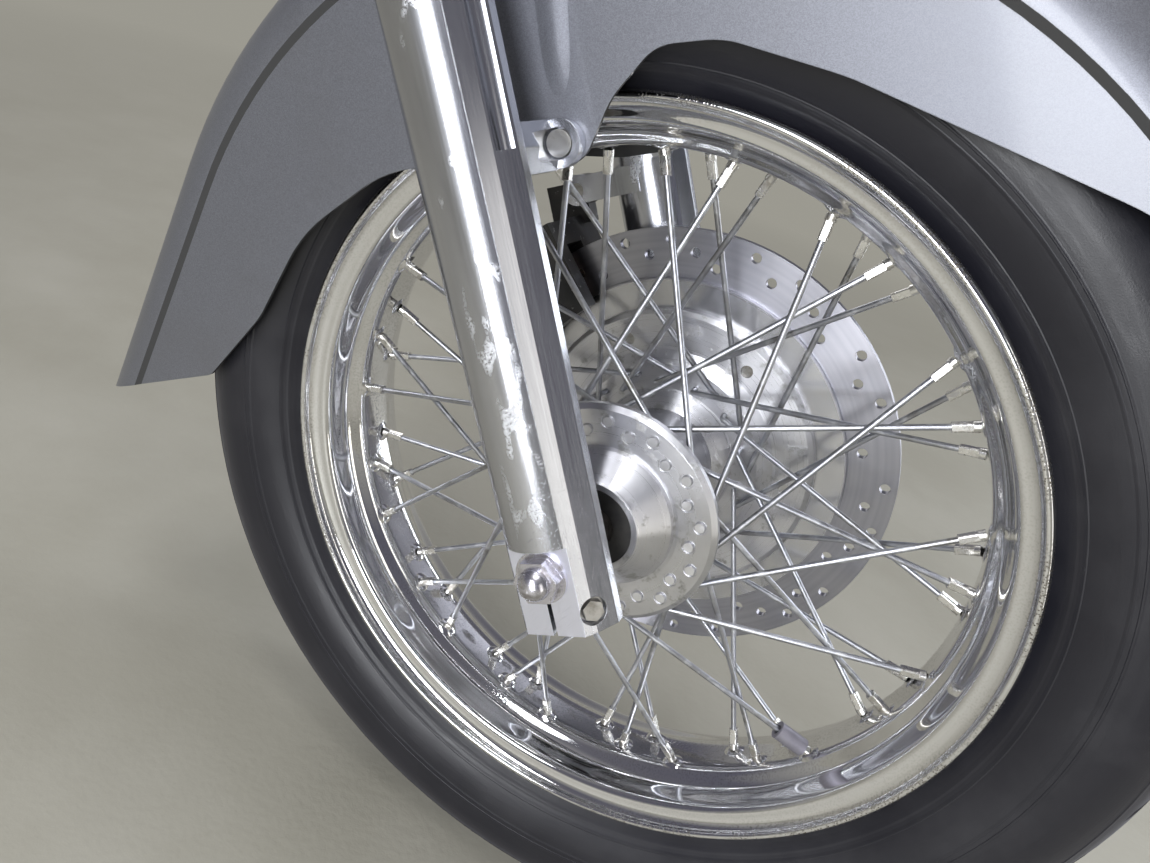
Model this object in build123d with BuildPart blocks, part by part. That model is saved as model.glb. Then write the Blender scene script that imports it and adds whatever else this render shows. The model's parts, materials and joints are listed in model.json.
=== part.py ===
from build123d import *
import os
from math import cos, radians, sin, sqrt

os.makedirs("parts", exist_ok=True)

# Steering geometry, in millimetres. X runs ahead, Y to the rider's left and Z up.
# The origin is on the steering axis, at the lower bearing's seat.
rake = 33.0
yoke_offset = 50.0
leg_spread = 114.5
axle_drop = 560.0

ahead = Vector(cos(radians(rake)), 0, sin(radians(rake)))
up_stem = Vector(-sin(radians(rake)), 0, cos(radians(rake)))
across = Vector(0, 1, 0)
steer = Plane(origin=(0, 0, 0), x_dir=ahead, z_dir=up_stem)
stem_axis = Axis((0, 0, 0), up_stem)
axle_centre = ahead * yoke_offset - up_stem * axle_drop
spin_axis = Axis(axle_centre, across)
wheel_section = Plane(origin=axle_centre, x_dir=(0, 1, 0), z_dir=(1, 0, 0))

# Fits
press_fit = 0.02
running_fit = 0.05
seat_gap = 0.3
bolt_fit = 0.25


def fork_side(y):
    """Side view of the fork at y: local x runs ahead of the steering axis, local y up it."""
    return Plane(origin=(0, y, 0), x_dir=ahead, z_dir=(0, -1, 0))


def wheel_side(y):
    """Side view of the wheel at y: local origin on the axle, local y up the fork."""
    return Plane(origin=axle_centre + across * y, x_dir=ahead, z_dir=(0, -1, 0))


def polar(radius, back):
    """Point of the wheel's side view, at an angle turned back from the fork's line."""
    return (-radius * sin(radians(back)), radius * cos(radians(back)))


def wheel_point(radius, back, y):
    """The same point in space, at y."""
    along, up = polar(radius, back)
    return axle_centre + ahead * along + up_stem * up + across * y


def finish(piece, name):
    """Name a finished piece and write it."""
    piece.part.label = name
    export_step(piece.part, f"parts/{name}.step")


# Rim: a steel drop-centre section for a 17 inch tyre, both edges rolled outward
rim_edge_r = 231.0
bead_seat_r = 217.3
bead_seat_half = 38.1
rim_half = 49.0
well_r = 205.2
well_half = 13.0
rim_wall = 2.2
lip_roll = 3.4
shoulder_half = 25.0
shoulder_r = 214.6

rim_upper = [
    (0, well_r),
    (well_half, well_r),
    (well_half + 8, shoulder_r - 1.5),
    (shoulder_half, shoulder_r),
    (bead_seat_half, bead_seat_r),
    (bead_seat_half + 0.6, rim_edge_r - 4),
    (bead_seat_half + 4, rim_edge_r),
    (rim_half - 3, rim_edge_r),
    (rim_half, rim_edge_r - lip_roll),
]
rim_lower = [
    (rim_half - rim_wall, rim_edge_r - lip_roll - 0.6),
    (rim_half - 3.8, rim_edge_r - rim_wall),
    (bead_seat_half + 5, rim_edge_r - rim_wall - 0.4),
    (bead_seat_half + rim_wall + 0.8, rim_edge_r - 6),
    (bead_seat_half + rim_wall + 0.3, bead_seat_r - rim_wall + 1),
    (bead_seat_half - 1, bead_seat_r - rim_wall - 0.6),
    (shoulder_half + 1, shoulder_r - rim_wall - 0.1),
    (well_half + 9, shoulder_r - rim_wall - 1.7),
    (well_half + 1, well_r - rim_wall),
    (0, well_r - rim_wall),
]
with BuildPart() as rim:
    with BuildSketch(wheel_section):
        with BuildLine():
            Polyline(*rim_upper, *rim_lower, close=True)
        make_face()
        mirror(about=Plane.YZ)
    revolve(axis=spin_axis)
finish(rim, "rim")

# Tyre: smooth-sided, with beads that sit on the rim
tyre_r = 320.0
tyre_half = 62.0
tyre_wall = 8.0
bead_half = bead_seat_half - seat_gap
bead_r = bead_seat_r + seat_gap
bead_width = 10.0


def tyre_point(out, up):
    """Point of the tyre's section: shares of the way from bead to belly and from rim edge to crown."""
    return (bead_half + (tyre_half - bead_half) * out, rim_edge_r + (tyre_r - rim_edge_r) * up)


with BuildPart() as tyre:
    with BuildSketch(wheel_section):
        with BuildLine():
            Polyline((0, tyre_r - 1.5 * tyre_wall), (0, tyre_r), (tyre_half * 0.1, tyre_r))
            ThreePointArc((tyre_half * 0.1, tyre_r), (tyre_half * 0.48, tyre_point(0, 0.964)[1]),
                          tyre_point(0.34, 0.865))
            ThreePointArc(tyre_point(0.34, 0.865), tyre_point(0.814, 0.708), tyre_point(1, 0.483))
            ThreePointArc(tyre_point(1, 0.483), tyre_point(0.793, 0.225), tyre_point(0.256, 0.045))
            Polyline(tyre_point(0.256, 0.045), (bead_half, rim_edge_r - 4), (bead_half, bead_r),
                     (bead_half - bead_width, bead_r - 0.6))
            ThreePointArc((bead_half - bead_width, bead_r - 0.6), tyre_point(0.174, 0.124),
                          tyre_point(0.669, 0.483))
            ThreePointArc(tyre_point(0.669, 0.483), tyre_point(0.215, 0.753), (0, tyre_r - 1.5 * tyre_wall))
        make_face()
        mirror(about=Plane.YZ)
    revolve(axis=spin_axis)
finish(tyre, "tyre")

# Hub: turned and polished aluminium, with a small flange on the right and a dished one on the left
flange_r = 68.0
flange_out = 55.5
flange_in = 48.0
hub_end = 72.0
barrel_r = 30.0
disc_seat_y = 62.0
disc_seat_r = 99.0
dish_r = 68.0
bearing_r = 21.0
bearing_width = 13.0
seal_r = 24.0
seal_depth = 8.0
hub_bore_r = 14.0
hub_profile = [
    (-hub_end, seal_r),
    (-hub_end, 27.5),
    (-hub_end + 2, 29.5),
    (-flange_out - 2.5, 42.5),
    (-flange_out + 0.5, 43.5),
    (-flange_out, 46),
    (-flange_out, flange_r - 3),
    (-flange_out + 2.5, flange_r),
    (-flange_in - 1.5, flange_r),
    (-flange_in, flange_r - 1.5),
    (-flange_in, 47),
    (-flange_in + 9, 35),
    (-18, barrel_r),
    (18, barrel_r),
    (flange_in - 9, 36),
    (flange_in, 48),
    (flange_in, dish_r - 4),
    (flange_in + 5, dish_r + 5),
    (flange_in + 6, disc_seat_r - 3),
    (flange_in + 8, disc_seat_r),
    (disc_seat_y, disc_seat_r),
    (disc_seat_y, dish_r + 3),
    (flange_out, dish_r),
    (flange_out, 43),
    (hub_end - 2, 30),
    (hub_end, 28),
    (hub_end, seal_r),
    (hub_end - seal_depth, seal_r),
    (hub_end - seal_depth, bearing_r),
    (hub_end - seal_depth - bearing_width, bearing_r),
    (hub_end - seal_depth - bearing_width, hub_bore_r),
    (-hub_end + seal_depth + bearing_width, hub_bore_r),
    (-hub_end + seal_depth + bearing_width, bearing_r),
    (-hub_end + seal_depth, bearing_r),
    (-hub_end + seal_depth, seal_r),
]

# Lacing: thirteen groups of four nipples, each flange four-cross, heads outside in two rings
groups = 13
pitch = 360 / groups
first_group = 2.8
row_shift = 2.8
pair_half = 5.45
hub_turn = 53.9
spoke_r = 1.75
spoke_hole_r = spoke_r + 0.15
spoke_bend = 2.3
head_r = 3.4
head_height = 1.7
head_sink_r = 4.3
head_sink = 0.8
nipple_r = 3.2
nipple_collar = 3.6
nipple_flats = 5.1
nipple_corner = 1.1
nipple_length = 14.0
# family: ring radius on the flange, way it leans, elbow's y, nipple's y
lacing = [
    ("outer", 58.5, 1, flange_in - 1.9, 10.4),
    ("inner", 53.0, -1, flange_in - 6.6, 5.9),
]
flange_holes = []
for side in (-1, 1):
    for family, ring_r, lean, elbow_y, nipple_y in lacing:
        for k in range(groups):
            centre = first_group - side * row_shift + k * pitch
            flange_holes.append((side, ring_r, centre + lean * (pair_half - hub_turn)))

# Disc bolts: six, through the disc's web into the hub's left flange
disc_bolt_ring = 82.0
disc_bolt_count = 6
disc_bolt_start = 8.4
disc_bolt_r = 4.0

with BuildPart() as hub:
    with BuildSketch(wheel_section):
        with BuildLine():
            Polyline(*hub_profile, close=True)
        make_face()
    revolve(axis=spin_axis)
    for side in (-1, 1):
        with BuildSketch(wheel_side(side * (flange_out + 1))):
            for hole_side, ring_r, back in flange_holes:
                if hole_side == side:
                    with Locations(polar(ring_r, back)):
                        Circle(spoke_hole_r)
        extrude(amount=side * (flange_out - flange_in + 2), mode=Mode.SUBTRACT)
        with BuildSketch(wheel_side(side * (flange_out + 1))):
            for hole_side, ring_r, back in flange_holes:
                if hole_side == side:
                    with Locations(polar(ring_r, back)):
                        Circle(head_sink_r)
        extrude(amount=side * (head_sink + 1), mode=Mode.SUBTRACT)
    with BuildSketch(wheel_side(disc_seat_y + 1)):
        with PolarLocations(disc_bolt_ring, disc_bolt_count, start_angle=90 + disc_bolt_start):
            Circle(disc_bolt_r + running_fit)
    extrude(amount=disc_seat_y - flange_in, mode=Mode.SUBTRACT)
finish(hub, "hub")

# Bearings and their rubber seals, pressed into the hub's ends
axle_r = 7.5
collar_r = 12.5
for side, hand in ((-1, "right"), (1, "left")):
    with BuildPart() as bearing:
        with BuildSketch(wheel_side(side * (hub_end - seal_depth))):
            Circle(bearing_r - press_fit)
            Circle(axle_r + running_fit, mode=Mode.SUBTRACT)
        extrude(amount=side * (bearing_width - seat_gap))
    finish(bearing, f"bearing_{hand}")
    with BuildPart() as seal:
        with BuildSketch(wheel_side(side * (hub_end - 1))):
            Circle(seal_r - press_fit)
            Circle(collar_r + running_fit, mode=Mode.SUBTRACT)
        extrude(amount=side * (seal_depth - 2))
    finish(seal, f"hub_seal_{hand}")

# Spokes: a head on the flange, a neck through it, an elbow and a straight wire to the nipple
nipple_clear = nipple_r * 0.45 + seat_gap
nipple_foot_r = well_r - rim_wall - nipple_clear
for side, hand in ((-1, "right"), (1, "left")):
    wires = []
    for family, ring_r, lean, elbow_y, nipple_y in lacing:
        for k in range(groups):
            centre = first_group - side * row_shift + k * pitch
            at_rim = centre + lean * pair_half
            at_hub = centre + lean * (pair_half - hub_turn)
            elbow = wheel_point(ring_r, at_hub, side * elbow_y)
            foot = wheel_point(nipple_foot_r, at_rim, side * nipple_y)
            wires.append((ring_r, at_hub, elbow, foot))
    with BuildPart() as spokes:
        for ring_r, at_hub, elbow, foot in wires:
            root = foot - (foot - elbow).normalized() * nipple_length
            head_top = wheel_point(ring_r, at_hub, side * (flange_out - head_sink + head_height))
            with BuildLine():
                FilletPolyline(head_top, elbow, root, radius=spoke_bend)
            with BuildSketch(Plane(origin=head_top, z_dir=across * -side)):
                Circle(spoke_r)
            sweep()
            with BuildSketch(Plane(origin=head_top, z_dir=across * -side)):
                Circle(head_r - 0.6)
            extrude(amount=head_height, taper=-19)
    finish(spokes, f"spokes_{hand}")
    with BuildPart() as nipples:
        for ring_r, at_hub, elbow, foot in wires:
            wire = foot - elbow
            root = foot - wire.normalized() * nipple_length
            with BuildSketch(Plane(origin=root, z_dir=wire)):
                RectangleRounded(nipple_flats, nipple_flats, nipple_corner)
            extrude(amount=nipple_length)
            with BuildSketch(Plane(origin=foot, z_dir=-wire)):
                Circle(nipple_r)
            extrude(amount=nipple_collar)
    finish(nipples, f"nipples_{hand}")

# Valve stem, in a gap between two groups of spokes
valve_back = first_group + pitch / 2
with BuildPart() as valve:
    valve_base = Plane(origin=wheel_point(well_r - rim_wall - seat_gap, valve_back, 0),
                       z_dir=axle_centre - wheel_point(well_r, valve_back, 0))
    with BuildSketch(valve_base):
        RegularPolygon(6.2, 6)
    extrude(amount=4)
    with BuildSketch(valve_base):
        Circle(4)
    extrude(amount=24)
    with BuildSketch(valve_base.offset(24)):
        Circle(4.6)
    extrude(amount=9, taper=6)
finish(valve, "valve_stem")

# Brake disc: a drilled band stepped off a thinner web
disc_r = 150.0
band_inner_r = 117.0
band_y = 66.0
band_thick = 5.0
web_thick = 4.0
web_inner_r = 74.0
# place of each hole: share of the way across the band, and angle back
disc_holes_per_group = [(0.7727, 0.0), (0.4848, 6.5), (0.7727, 13.0), (0.5455, 20.0), (0.303, 26.5)]
disc_groups = 10
disc_hole_start = 33.0
disc_hole_r = 3.4
with BuildPart() as disc:
    with BuildSketch(wheel_side(band_y + band_thick)):
        Circle(disc_r)
        Circle(band_inner_r, mode=Mode.SUBTRACT)
        for hole_share, hole_back in disc_holes_per_group:
            hole_ring = band_inner_r + (disc_r - band_inner_r) * hole_share
            with PolarLocations(hole_ring, disc_groups, start_angle=90 - disc_hole_start - hole_back):
                Circle(disc_hole_r, mode=Mode.SUBTRACT)
    extrude(amount=band_thick)
    with BuildSketch(wheel_side(disc_seat_y + web_thick + 0.8)):
        Circle(band_inner_r + 1)
        Circle(web_inner_r, mode=Mode.SUBTRACT)
        with PolarLocations(disc_bolt_ring, disc_bolt_count, start_angle=90 + disc_bolt_start):
            Circle(disc_bolt_r + bolt_fit, mode=Mode.SUBTRACT)
    extrude(amount=web_thick + 0.8)
finish(disc, "brake_disc")

with BuildPart() as disc_bolts:
    with BuildSketch(wheel_side(disc_seat_y + web_thick + 0.8)):
        with PolarLocations(disc_bolt_ring, disc_bolt_count, start_angle=90 + disc_bolt_start):
            Circle(disc_bolt_r)
    extrude(amount=web_thick + 7)
    with BuildSketch(wheel_side(disc_seat_y + web_thick + 0.8)):
        with PolarLocations(disc_bolt_ring, disc_bolt_count, start_angle=90 + disc_bolt_start):
            Circle(6.8)
    extrude(amount=-4.4, taper=18)
finish(disc_bolts, "disc_bolts")

# Sliders: polished aluminium, round behind and drawn out in front, with a flat where the axle passes
slider_r = 24.5
nose = slider_r * 1.17
tube_r = 20.5
lug_low = 34.0
lug_out = 17.9
lug_in = 20.9
flat_top = 15.5
slider_bore_foot = 45.0
nose_top = 300.0
collar_start = 330.0
slider_top = 395.0
collar_outer_r = 28.0
arm_up = 204.5
arm_ahead = 29.5
arm_half = 12.0
arm_bevel = 20.0
eye_r = 11.8
eye_recess_r = 7.6
eye_recess = 3.5
eye_bolt_r = 4.0
fender_half = 73.0
fender_wall = 2.0
skirt_inset = 1.2
skirt_half = fender_half - skirt_inset
eye_in = skirt_half + seat_gap
eye_out = eye_in + 6
pad_up = 285.0
pad_r = 11.0
pad_bolt_r = 3.0
caliper_lug_back = 46.0
caliper_lugs_up = (band_inner_r - 31, disc_r + 32)
caliper_webs_up = (band_inner_r - 20, disc_r + 15)
caliper_lug_r = 10.5
caliper_lug_thick = 9.0
caliper_face = 98.0
caliper_bolt_r = 5.0
slit_width = 2.5
# front of the leg, ahead of its centre and out from it, in shares of the round body's radius
nose_table = [
    (0, 0),
    (0.63, 0.74),
    (0.66, 0.77),
    (0.89, 0.515),
    (1.17, 0.06),
    (1.17, -0.18),
    (0.76, -0.61),
]
channel_r = 7.0
channel_ahead = slider_r * 1.198
channel_out = slider_r * 0.395
# the arm seen from above, ahead of the leg's centre and out from it
arm_table = [
    (6, slider_r * 0.515),
    (slider_r * 0.89, slider_r * 0.515),
    (27, -16),
    (arm_ahead + 1, eye_out - leg_spread),
    (arm_ahead + 1, eye_in + 1 - leg_spread),
    (arm_ahead - 15, eye_in + 1 - leg_spread),
    (4, -16),
]
pinch_up = -22.0
pinch_turn = 45.0
pinch_offset = 6.8
pinch_seat = 17.4
pinch_bolt_r = 4.0
pinch_head_r = 6.0
pinch_sink_r = 7.6
pinch_axis = ahead * cos(radians(pinch_turn)) - across * sin(radians(pinch_turn))
pinch_side = ahead * sin(radians(pinch_turn)) + across * cos(radians(pinch_turn))
pinch_centre = axle_centre - across * leg_spread + up_stem * pinch_up + pinch_side * pinch_offset
for side, hand in ((-1, "right"), (1, "left")):
    leg_y = side * leg_spread
    with BuildPart() as slider:
        # front of the leg, sloped at its top
        with BuildSketch(steer.offset(-axle_drop - lug_low)):
            with BuildLine():
                Polyline(*[(yoke_offset + slider_r * along, leg_y + side * slider_r * out)
                           for along, out in nose_table], close=True)
            make_face()
        extrude(amount=lug_low + collar_start)
        with BuildSketch(fork_side(leg_y + 2 * slider_r)):
            with BuildLine():
                Polyline((yoke_offset + nose + 1, nose_top - axle_drop - 1),
                         (yoke_offset + slider_r - 4, collar_start - axle_drop),
                         (yoke_offset + slider_r - 4, collar_start - axle_drop + 1),
                         (yoke_offset + nose + 1, collar_start - axle_drop + 1), close=True)
            make_face()
        extrude(amount=4 * slider_r, mode=Mode.SUBTRACT)
        # round body, the channel above the arm and the seal's housing
        with BuildSketch(steer.offset(-axle_drop - lug_low)):
            with Locations((yoke_offset, leg_y)):
                Circle(slider_r)
        extrude(amount=lug_low + collar_start)
        with BuildSketch(steer.offset(-axle_drop + arm_up)):
            with Locations((yoke_offset + channel_ahead, leg_y + side * channel_out)):
                Circle(channel_r)
        extrude(amount=collar_start - arm_up, mode=Mode.SUBTRACT)
        with BuildSketch(steer.offset(-axle_drop + collar_start - 12)):
            with Locations((yoke_offset, leg_y)):
                Circle(slider_r)
        with BuildSketch(steer.offset(-axle_drop + collar_start)):
            with Locations((yoke_offset, leg_y)):
                Circle(collar_outer_r)
        loft()
        with BuildSketch(steer.offset(-axle_drop + collar_start)):
            with Locations((yoke_offset, leg_y)):
                Circle(collar_outer_r)
        extrude(amount=slider_top - collar_start)
        # arm, bevelled above and below its outer edge, and the eye for the fender
        for rise in (-1, 1):
            with BuildSketch(steer.offset(-axle_drop + arm_up)):
                with BuildLine():
                    Polyline(*[(yoke_offset + along, leg_y + side * out) for along, out in arm_table],
                             close=True)
                make_face()
            extrude(amount=rise * arm_half, taper=arm_bevel)
        with BuildSketch(fork_side(side * eye_in)):
            with Locations((yoke_offset + arm_ahead, -axle_drop + arm_up)):
                Circle(eye_r)
        extrude(amount=-side * (eye_out - eye_in))
        # upper pad for the fender
        with BuildSketch(fork_side(side * eye_in)):
            with Locations((yoke_offset, -axle_drop + pad_up)):
                Circle(pad_r)
        extrude(amount=-side * (leg_spread - eye_in))
        if side == 1:
            for up in caliper_lugs_up:
                with BuildSketch(fork_side(caliper_face)):
                    with Locations((yoke_offset - caliper_lug_back, -axle_drop + up)):
                        Circle(caliper_lug_r)
                    with Locations((yoke_offset - caliper_lug_back / 2, -axle_drop + up)):
                        Rectangle(caliper_lug_back, 2 * caliper_lug_r - 3)
                extrude(amount=caliper_lug_thick)
        # flats for the axle's washer outside and its collar inside
        for reach, flat_way in ((lug_out, -side), (-lug_in, side)):
            with BuildSketch(fork_side(side * (leg_spread + reach))):
                with Locations((yoke_offset, -axle_drop + (flat_top - lug_low - 1) / 2)):
                    Rectangle(3 * slider_r, flat_top + lug_low + 1)
            extrude(amount=flat_way * slider_r, mode=Mode.SUBTRACT)
        # bores
        with BuildSketch(steer.offset(-axle_drop + slider_bore_foot)):
            with Locations((yoke_offset, leg_y)):
                Circle(tube_r + running_fit)
        extrude(amount=slider_top, mode=Mode.SUBTRACT)
        with BuildSketch(fork_side(leg_y + slider_r + 10)):
            with Locations((yoke_offset, -axle_drop)):
                Circle(axle_r + running_fit)
        extrude(amount=2 * slider_r + 20, mode=Mode.SUBTRACT)
        with BuildSketch(fork_side(side * (eye_in - 1))):
            with Locations((yoke_offset + arm_ahead, -axle_drop + arm_up)):
                Circle(eye_bolt_r + bolt_fit)
        extrude(amount=-side * (eye_out - eye_in), mode=Mode.SUBTRACT)
        with BuildSketch(fork_side(side * (eye_out - eye_recess))):
            with Locations((yoke_offset + arm_ahead, -axle_drop + arm_up)):
                Circle(eye_recess_r)
        extrude(amount=-side * (eye_recess + 16), mode=Mode.SUBTRACT)
        with BuildSketch(fork_side(side * (eye_in - 1))):
            with Locations((yoke_offset, -axle_drop + pad_up)):
                Circle(pad_bolt_r + running_fit)
        extrude(amount=-side * 9, mode=Mode.SUBTRACT)
        if side == 1:
            for up in caliper_lugs_up:
                with BuildSketch(fork_side(caliper_face + 1)):
                    with Locations((yoke_offset - caliper_lug_back, -axle_drop + up)):
                        Circle(caliper_bolt_r + running_fit)
                extrude(amount=caliper_lug_thick + 2, mode=Mode.SUBTRACT)
        if side == -1:
            # slit below the axle and the sunk hole for its pinch bolt
            with BuildSketch(fork_side(leg_y + slider_r + 10)):
                with Locations((yoke_offset, -axle_drop - lug_low / 2 - 1)):
                    Rectangle(slit_width, lug_low + 2)
            extrude(amount=2 * slider_r + 20, mode=Mode.SUBTRACT)
            with BuildSketch(Plane(origin=pinch_centre + pinch_axis * 2 * slider_r, z_dir=pinch_axis)):
                Circle(pinch_bolt_r + running_fit)
            extrude(amount=-2 * slider_r - 20, mode=Mode.SUBTRACT)
            with BuildSketch(Plane(origin=pinch_centre + pinch_axis * pinch_seat, z_dir=pinch_axis)):
                Circle(pinch_sink_r)
            extrude(amount=2 * slider_r, mode=Mode.SUBTRACT)
    finish(slider, f"slider_{hand}")

# Axle: ground steel, with a pan head on the left, and a washer, a hexagon and a dome on the right
washer_thick = 2.0
washer_r = 14.3
hex_height = 6.5
hex_flats = 22.0
dome_r = 8.8
axle_head_r = 13.0
axle_head = 5.0
lug_face = leg_spread + lug_out
dome_foot = -lug_face - washer_thick - hex_height
with BuildPart() as axle:
    with BuildSketch(wheel_side(-lug_face - washer_thick)):
        Circle(axle_r)
    extrude(amount=-(2 * lug_face + washer_thick + 1))
    with BuildSketch(wheel_side(-lug_face)):
        Circle(washer_r)
    extrude(amount=washer_thick)
    with BuildSketch(wheel_side(-lug_face - washer_thick)):
        RegularPolygon(hex_flats / 2, 6, major_radius=False)
    extrude(amount=hex_height)
    with BuildSketch(wheel_section):
        with BuildLine():
            Polyline((dome_foot - dome_r, 0), (dome_foot, 0), (dome_foot, dome_r))
            ThreePointArc((dome_foot, dome_r), (dome_foot - dome_r * sqrt(0.5), dome_r * sqrt(0.5)),
                          (dome_foot - dome_r, 0))
        make_face()
    revolve(axis=spin_axis)
    with BuildSketch(wheel_side(lug_face + axle_head)):
        Circle(axle_head_r)
    extrude(amount=axle_head)
finish(axle, "axle")

with BuildPart() as axle_pinch_bolt:
    bolt_seat = Plane(origin=pinch_centre + pinch_axis * pinch_seat, z_dir=pinch_axis)
    with BuildSketch(bolt_seat):
        Circle(pinch_bolt_r)
    extrude(amount=-pinch_seat - 16)
    with BuildSketch(bolt_seat):
        Circle(pinch_sink_r - 0.6)
    extrude(amount=1.2)
    with BuildSketch(bolt_seat.offset(1.2)):
        RegularPolygon(pinch_head_r, 6)
    extrude(amount=5.5)
finish(axle_pinch_bolt, "axle_pinch_bolt")

# Collars between the hub's bearings and the legs
for side, hand in ((-1, "right"), (1, "left")):
    with BuildPart() as collar:
        with BuildSketch(wheel_side(side * (leg_spread - lug_in))):
            Circle(collar_r)
            Circle(axle_r + running_fit, mode=Mode.SUBTRACT)
        extrude(amount=side * (leg_spread - lug_in - hub_end + seal_depth - 0.1))
    finish(collar, f"axle_collar_{hand}")

# Fork tubes: chromed steel, clamped in both yokes and closed by a cap
tube_wall = 2.5
tube_foot = 60.0
lower_yoke_thick = 38.0
head_length = 158.0
upper_yoke_thick = 26.0
tube_top = head_length + upper_yoke_thick + 8
for side, hand in ((-1, "right"), (1, "left")):
    with BuildPart() as tube:
        with BuildSketch(steer.offset(-axle_drop + tube_foot)):
            with Locations((yoke_offset, side * leg_spread)):
                Circle(tube_r)
                Circle(tube_r - tube_wall, mode=Mode.SUBTRACT)
        extrude(amount=axle_drop - tube_foot + tube_top)
    finish(tube, f"fork_tube_{hand}")
    with BuildPart() as cap:
        with BuildSketch(steer.offset(tube_top - 14)):
            with Locations((yoke_offset, side * leg_spread)):
                Circle(tube_r - tube_wall - running_fit)
        extrude(amount=14)
        with BuildSketch(steer.offset(tube_top)):
            with Locations((yoke_offset, side * leg_spread)):
                Circle(tube_r)
        extrude(amount=4)
        with BuildSketch(steer.offset(tube_top + 4)):
            with Locations((yoke_offset, side * leg_spread)):
                RegularPolygon(11, 6, major_radius=False)
        extrude(amount=7)
    finish(cap, f"fork_cap_{hand}")
    with BuildPart() as dust_seal:
        with BuildSketch(steer.offset(-axle_drop + slider_top)):
            with Locations((yoke_offset, side * leg_spread)):
                Circle(collar_outer_r - 0.5)
                Circle(tube_r + running_fit, mode=Mode.SUBTRACT)
        extrude(amount=6)
        with BuildSketch(steer.offset(-axle_drop + slider_top + 6)):
            with Locations((yoke_offset, side * leg_spread)):
                Circle(collar_outer_r - 3)
                Circle(tube_r + running_fit, mode=Mode.SUBTRACT)
        extrude(amount=6)
    finish(dust_seal, f"dust_seal_{hand}")

# Steering stem: steel, pressed into the lower yoke, with a seat for each bearing
stem_root_r = 16.5
lower_seat_r = 15.0
lower_seat_length = 16.0
stem_r = 13.0
upper_seat_r = 12.5
upper_seat_length = 14.0
stem_top_r = 11.0
stem_bore_r = 7.0
nut_height = 14.0
stem_top = head_length + upper_yoke_thick + nut_height - 2
upper_seat_top = head_length - 3
with BuildPart() as stem:
    with BuildSketch(fork_side(0)):
        with BuildLine():
            Polyline(
                (stem_bore_r, -lower_yoke_thick), (stem_root_r, -lower_yoke_thick), (stem_root_r, 0),
                (lower_seat_r, 0), (lower_seat_r, lower_seat_length), (stem_r, lower_seat_length + 4),
                (stem_r, upper_seat_top - upper_seat_length - 2),
                (upper_seat_r, upper_seat_top - upper_seat_length), (upper_seat_r, upper_seat_top),
                (stem_top_r, upper_seat_top), (stem_top_r, stem_top), (stem_bore_r, stem_top), close=True)
        make_face()
    revolve(axis=stem_axis)
finish(stem, "steering_stem")

with BuildPart() as stem_nut:
    with BuildSketch(steer.offset(head_length + upper_yoke_thick)):
        Circle(19)
        Circle(stem_top_r + running_fit, mode=Mode.SUBTRACT)
    extrude(amount=2.5)
    with BuildSketch(steer.offset(head_length + upper_yoke_thick + 2.5)):
        RegularPolygon(15, 6, major_radius=False)
        Circle(stem_top_r + running_fit, mode=Mode.SUBTRACT)
    extrude(amount=nut_height - 2.5)
finish(stem_nut, "stem_nut")

# Yokes: each has a boss on the stem and a split clamp round each tube
yoke_table = [
    # name, foot, thickness, clamp radius, boss radius, front, stem bore
    ("lower_yoke", -lower_yoke_thick, lower_yoke_thick, 31.5, 29.0, 36.0, stem_root_r + press_fit),
    ("upper_yoke", head_length, upper_yoke_thick, 30.5, 27.0, 40.0, stem_top_r + running_fit),
]
ear_back = 44.0
ear_half = 14.0
clamp_bolt_back = 35.0
clamp_bolt_r = 4.0
clamp_slit = 3.0
riser_ahead = 14.0
riser_half = 52.0
riser_hole_r = 6.1
for name, foot, thick, clamp_r, boss_r, front, bore_r in yoke_table:
    with BuildPart() as yoke:
        with BuildSketch(steer.offset(foot)):
            with BuildLine():
                Polyline((front, 0), (front, leg_spread * 0.35), (yoke_offset + clamp_r - 8, leg_spread - 20),
                         (yoke_offset - 18, leg_spread + 20), (-6, leg_spread / 2), (6 - boss_r, boss_r - 9),
                         (6 - boss_r, 0), close=True)
            make_face()
            mirror(about=Plane.XZ)
            Circle(boss_r)
            for side in (-1, 1):
                with Locations((yoke_offset, side * leg_spread)):
                    Circle(clamp_r)
                with Locations((yoke_offset - ear_back / 2, side * leg_spread)):
                    Rectangle(ear_back, 2 * ear_half)
        extrude(amount=thick)
        with BuildSketch(steer.offset(foot - 1)):
            Circle(bore_r)
            for side in (-1, 1):
                with Locations((yoke_offset, side * leg_spread)):
                    Circle(tube_r + press_fit)
                with Locations((yoke_offset - ear_back / 2 - 2, side * leg_spread)):
                    Rectangle(ear_back + 4, clamp_slit)
                if name == "upper_yoke":
                    with Locations((riser_ahead, side * riser_half)):
                        Circle(riser_hole_r)
        extrude(amount=thick + 2, mode=Mode.SUBTRACT)
        for side in (-1, 1):
            with BuildSketch(fork_side(side * (leg_spread + ear_half + 1))):
                with Locations((yoke_offset - clamp_bolt_back, foot + thick / 2)):
                    Circle(clamp_bolt_r + running_fit)
            extrude(amount=side * (2 * ear_half - 3), mode=Mode.SUBTRACT)
    finish(yoke, name)

with BuildPart() as yoke_bolts:
    for name, foot, thick, clamp_r, boss_r, front, bore_r in yoke_table:
        for side in (-1, 1):
            with BuildSketch(fork_side(side * (leg_spread + ear_half))):
                with Locations((yoke_offset - clamp_bolt_back, foot + thick / 2)):
                    Circle(clamp_bolt_r)
            extrude(amount=side * (2 * ear_half - 6))
            with BuildSketch(fork_side(side * (leg_spread + ear_half))):
                with Locations((yoke_offset - clamp_bolt_back, foot + thick / 2)):
                    Circle(6.5)
            extrude(amount=-side * 7)
finish(yoke_bolts, "yoke_bolts")

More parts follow.
